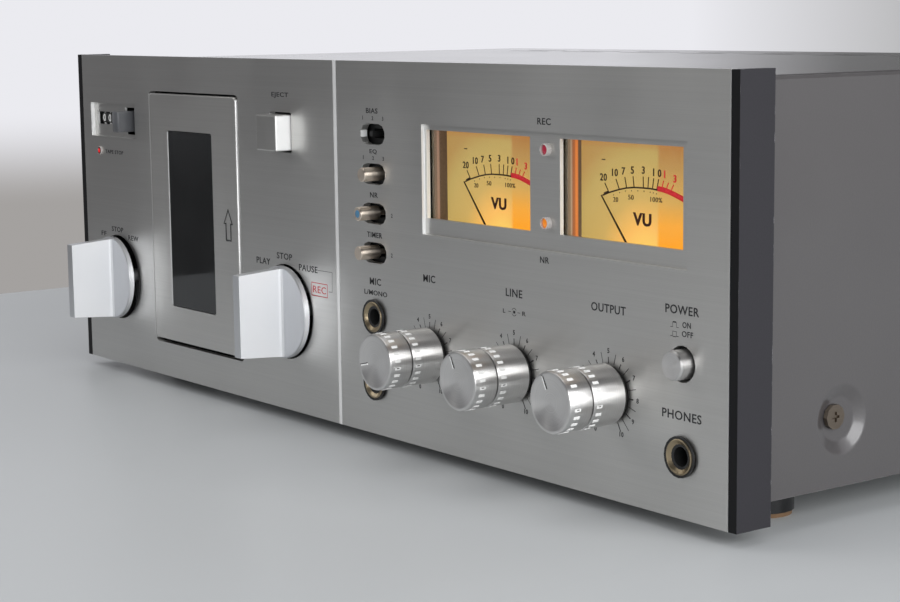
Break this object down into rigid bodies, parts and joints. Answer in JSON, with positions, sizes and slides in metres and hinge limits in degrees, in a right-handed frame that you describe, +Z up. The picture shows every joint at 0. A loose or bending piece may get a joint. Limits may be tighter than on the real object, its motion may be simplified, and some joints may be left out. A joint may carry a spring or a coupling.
{
  "type": "cassette deck",
  "caption": "Front-loading stereo cassette deck with an upright hinged cassette door, two bar levers, needle meters, double volume knobs, slide selectors, jacks and a sheet-metal cabinet.",
  "frame": {"origin": "centre of the bounding box on the surface that the feet stand on", "axes": "+X to the right seen from the front, -Y out of the front panel, +Z up"},
  "size_m": [0.44, 0.297, 0.1487],
  "materials": {
    "panel_metal": "horizontally brushed, satin grey",
    "polished_metal": "polished",
    "spun_metal": "spun and lightly polished",
    "champagne_metal": "warm polished",
    "brass_metal": "plain",
    "zinc_steel": "zinc plated",
    "dark_metal": "satin",
    "cover_paint": "dark grey satin paint",
    "black_plastic": "satin black",
    "black_paint": "matt black",
    "board_resin": "brown resin board",
    "meter_cream": "warm cream, lit from behind",
    "smoked_window": "smoked and clear",
    "clear_window": "clear",
    "foot_rubber": "matt black"
  },
  "bodies": {
    "cabinet": {"front_panel_left": "panel_metal", "front_panel_right": "panel_metal", "panel_seam_strip": "polished_metal", "end_cap_left": "black_plastic", "end_cap_right": "black_plastic", "top_cover": "cover_paint", "chassis_tray": "zinc_steel", "rear_panel": "zinc_steel", "foot_front_left": "foot_rubber", "foot_front_right": "foot_rubber", "foot_rear_left": "foot_rubber", "foot_rear_right": "foot_rubber", "cover_screw_left": "zinc_steel", "cover_screw_right": "zinc_steel", "mechanism_plate": "zinc_steel", "drive_motor": "dark_metal", "drive_belt": "foot_rubber", "counter_frame": "black_plastic", "selector_switch_bank": "board_resin", "level_control_board": "board_resin", "mic_jack_pair": "black_plastic", "phones_jack": "black_plastic", "power_switch": "black_plastic", "meter_unit": "meter_cream", "meter_window": "clear_window", "main_board": "board_resin", "power_transformer": "dark_metal", "rear_socket_block": "black_plastic", "mains_inlet": "black_plastic"},
    "door": {"cassette_door": "panel_metal", "door_window": "smoked_window", "cassette_holder": "black_plastic"},
    "supply": {"supply_spindle": "black_plastic"},
    "takeup": {"takeup_spindle": "black_plastic"},
    "flywheel": {"capstan_flywheel": "polished_metal"},
    "pulley": {"motor_pulley": "brass_metal"},
    "bridge": {"head_bridge": "zinc_steel", "record_play_head": "polished_metal", "erase_head": "polished_metal"},
    "roller": {"pinch_roller": "foot_rubber"},
    "winding": {"winding_lever": "polished_metal"},
    "play": {"play_lever": "polished_metal"},
    "eject": {"eject_button": "polished_metal"},
    "counter_hundreds": {"counter_wheel_hundreds": "black_plastic"},
    "counter_tens": {"counter_wheel_tens": "black_plastic"},
    "counter_units": {"counter_wheel_units": "black_plastic"},
    "counter_reset": {"counter_reset_button": "black_plastic"},
    "bias_switch": {"bias_switch_lever": "brass_metal"},
    "eq_switch": {"eq_switch_lever": "champagne_metal"},
    "nr_switch": {"nr_switch_lever": "champagne_metal"},
    "timer_switch": {"timer_switch_lever": "champagne_metal"},
    "mic_front": {"mic_knob_front": "spun_metal"},
    "mic_rear": {"mic_knob_rear": "spun_metal"},
    "line_front": {"line_knob_front": "spun_metal"},
    "line_rear": {"line_knob_rear": "spun_metal"},
    "output_front": {"output_knob_front": "spun_metal"},
    "output_rear": {"output_knob_rear": "spun_metal"},
    "power": {"power_button": "spun_metal"},
    "needle_left": {"meter_needle_left": "black_paint"},
    "needle_right": {"meter_needle_right": "black_paint"}
  },
  "joints": [
    {"name": "door_hinge", "type": "hinge", "parent": "cabinet", "child": "door", "pos_m": [-0.1127, -0.1185, 0.028], "axis": [1, 0, 0], "range_deg": [0, 25]},
    {"name": "supply_spin", "type": "hinge", "parent": "cabinet", "child": "supply", "pos_m": [-0.1149, -0.1043, 0.05585], "axis": [0, 1, 0], "continuous": true},
    {"name": "takeup_spin", "type": "hinge", "parent": "cabinet", "child": "takeup", "pos_m": [-0.1149, -0.1043, 0.09835], "axis": [0, 1, 0], "continuous": true},
    {"name": "capstan_spin", "type": "hinge", "parent": "cabinet", "child": "flywheel", "pos_m": [-0.0864, -0.1043, 0.0974], "axis": [0, 1, 0], "continuous": true},
    {"name": "motor_spin", "type": "hinge", "parent": "cabinet", "child": "pulley", "pos_m": [-0.146, -0.0903, 0.051], "axis": [0, 1, 0], "continuous": true},
    {"name": "head_bridge_slide", "type": "slide", "parent": "cabinet", "child": "bridge", "axis": [-1, 0, 0], "range_m": [0, 0.0117], "stiffness_N_per_m": 100, "springref_m": -0.005},
    {"name": "pinch_roller_spin", "type": "hinge", "parent": "bridge", "child": "roller", "pos_m": [-0.0667, -0.1043, 0.0974], "axis": [0, 1, 0], "continuous": true},
    {"name": "winding_lever_turn", "type": "hinge", "parent": "cabinet", "child": "winding", "pos_m": [-0.186, -0.1233, 0.0459], "axis": [0, 1, 0], "range_deg": [-36, 36]},
    {"name": "play_lever_turn", "type": "hinge", "parent": "cabinet", "child": "play", "pos_m": [-0.0395, -0.1233, 0.0459], "axis": [0, 1, 0], "range_deg": [-40, 40]},
    {"name": "eject_press", "type": "slide", "parent": "cabinet", "child": "eject", "axis": [0, 1, 0], "range_m": [0, 0.004], "stiffness_N_per_m": 300, "springref_m": -0.001},
    {"name": "counter_hundreds_turn", "type": "hinge", "parent": "cabinet", "child": "counter_hundreds", "pos_m": [-0.2018, -0.1133, 0.11945], "axis": [1, 0, 0], "continuous": true},
    {"name": "counter_tens_turn", "type": "hinge", "parent": "cabinet", "child": "counter_tens", "pos_m": [-0.1964, -0.1133, 0.11945], "axis": [1, 0, 0], "continuous": true},
    {"name": "counter_units_turn", "type": "hinge", "parent": "cabinet", "child": "counter_units", "pos_m": [-0.191, -0.1133, 0.11945], "axis": [1, 0, 0], "continuous": true},
    {"name": "counter_reset_press", "type": "slide", "parent": "cabinet", "child": "counter_reset", "axis": [0, 1, 0], "range_m": [0, 0.003], "stiffness_N_per_m": 150, "springref_m": -0.001},
    {"name": "bias_switch_slide", "type": "slide", "parent": "cabinet", "child": "bias_switch", "axis": [1, 0, 0], "range_m": [0, 0.006]},
    {"name": "eq_switch_slide", "type": "slide", "parent": "cabinet", "child": "eq_switch", "axis": [1, 0, 0], "range_m": [-0.003, 0.003]},
    {"name": "nr_switch_slide", "type": "slide", "parent": "cabinet", "child": "nr_switch", "axis": [1, 0, 0], "range_m": [0, 0.006]},
    {"name": "timer_switch_slide", "type": "slide", "parent": "cabinet", "child": "timer_switch", "axis": [1, 0, 0], "range_m": [0, 0.006]},
    {"name": "mic_front_turn", "type": "hinge", "parent": "cabinet", "child": "mic_front", "pos_m": [0.06, -0.1233, 0.04085], "axis": [0, 1, 0], "range_deg": [-50, 256]},
    {"name": "mic_rear_turn", "type": "hinge", "parent": "cabinet", "child": "mic_rear", "pos_m": [0.06, -0.1233, 0.04085], "axis": [0, 1, 0], "range_deg": [-50, 256]},
    {"name": "line_front_turn", "type": "hinge", "parent": "cabinet", "child": "line_front", "pos_m": [0.11, -0.1233, 0.04085], "axis": [0, 1, 0], "range_deg": [-127, 179]},
    {"name": "line_rear_turn", "type": "hinge", "parent": "cabinet", "child": "line_rear", "pos_m": [0.11, -0.1233, 0.04085], "axis": [0, 1, 0], "range_deg": [-127, 179]},
    {"name": "output_front_turn", "type": "hinge", "parent": "cabinet", "child": "output_front", "pos_m": [0.16, -0.1233, 0.04085], "axis": [0, 1, 0], "range_deg": [-127, 179]},
    {"name": "output_rear_turn", "type": "hinge", "parent": "cabinet", "child": "output_rear", "pos_m": [0.16, -0.1233, 0.04085], "axis": [0, 1, 0], "range_deg": [-127, 179]},
    {"name": "power_press", "type": "slide", "parent": "cabinet", "child": "power", "axis": [0, 1, 0], "range_m": [0, 0.003], "stiffness_N_per_m": 150, "springref_m": -0.001},
    {"name": "needle_left_swing", "type": "hinge", "parent": "cabinet", "child": "needle_left", "pos_m": [0.08755, -0.113, 0.0825], "axis": [0, 1, 0], "range_deg": [0, 75], "stiffness_Nm_per_rad": 0.0002},
    {"name": "needle_right_swing", "type": "hinge", "parent": "cabinet", "child": "needle_right", "pos_m": [0.16381, -0.113, 0.0825], "axis": [0, 1, 0], "range_deg": [0, 75], "stiffness_Nm_per_rad": 0.0002}
  ],
  "couplings": [
    {"joint": "motor_spin", "follows": "capstan_spin", "ratio": 6.5},
    {"joint": "counter_units_turn", "follows": "takeup_spin", "ratio": 0.06},
    {"joint": "counter_tens_turn", "follows": "takeup_spin", "ratio": 0.006},
    {"joint": "counter_hundreds_turn", "follows": "takeup_spin", "ratio": 0.0006}
  ]
}
